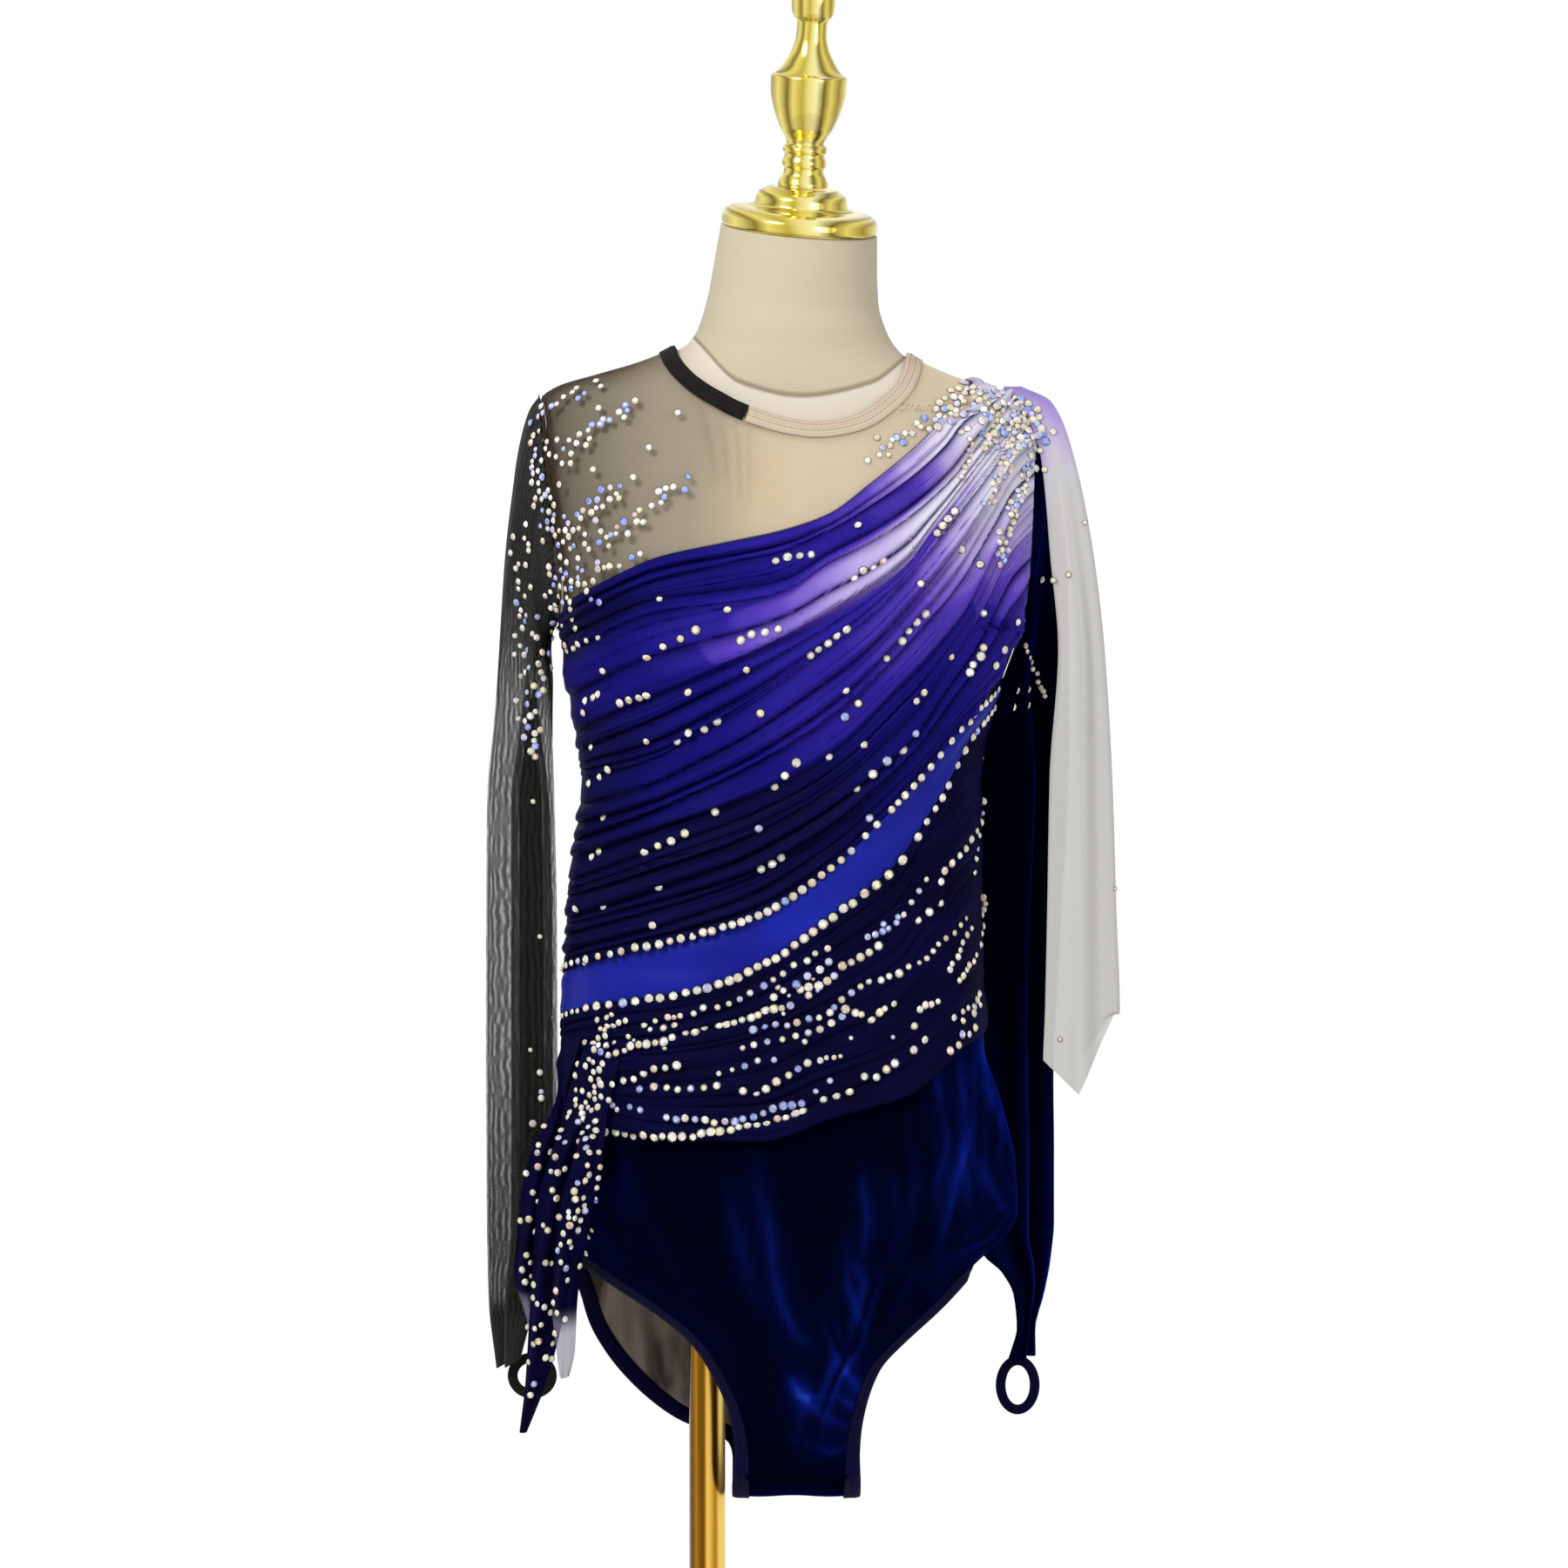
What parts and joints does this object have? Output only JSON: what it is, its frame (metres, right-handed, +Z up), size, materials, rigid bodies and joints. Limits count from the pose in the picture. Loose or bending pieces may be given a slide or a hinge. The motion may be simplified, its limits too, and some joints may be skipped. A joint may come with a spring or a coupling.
{
  "type": "figure skating dress on a dress form",
  "caption": "Leotard-style figure skating dress with a draped front, a sheer sleeve and a velvet sleeve, worn by a limbless dress form on a pole stand.",
  "frame": {"origin": "centre of the round foot's underside, on the pole's axis", "axes": "+Z up along the pole, -Y towards the front of the garment, +X towards the velvet sleeve"},
  "size_m": [0.4396, 0.31, 1.6009],
  "materials": {
    "gold_polished": "polished gold plate",
    "gold_satin": "satin gold plate",
    "form_cover": "plain woven cotton cover",
    "net_yoke": "sheer stretch net, black fading to skin colour",
    "net_black": "sheer black stretch net",
    "drape_print": "pleated chiffon, lilac fading to navy",
    "drape_navy": "navy chiffon",
    "band_blue": "smooth royal blue stretch cloth",
    "velvet_navy": "navy stretch velvet",
    "elastic_black": "black binding",
    "elastic_skin": "skin-coloured binding",
    "elastic_navy": "navy binding",
    "chiffon_white": "white chiffon with a lilac end"
  },
  "bodies": {
    "root": {"stand_foot": "gold_polished", "stand_pole": "gold_satin", "form_body": "form_cover", "neck_cap": "gold_polished", "finial": "gold_polished", "yoke_front": "net_yoke", "drape_upper": "drape_print", "waist_band": "band_blue", "drape_lower": "drape_navy", "brief_front": "velvet_navy", "yoke_back": "net_yoke", "body_back": "velvet_navy", "crotch_gusset": "velvet_navy", "neck_binding_black": "elastic_black", "neck_binding_skin": "elastic_skin", "leg_binding_left": "elastic_navy", "leg_binding_right": "elastic_navy", "sleeve_sheer": "net_black", "sleeve_velvet": "velvet_navy", "finger_loop_left": "elastic_black", "finger_loop_right": "elastic_navy", "shoulder_streamer": "chiffon_white", "hip_tail_outer": "drape_navy", "hip_tail_middle": "drape_navy", "hip_tail_inner": "drape_navy"}
  },
  "joints": []
}
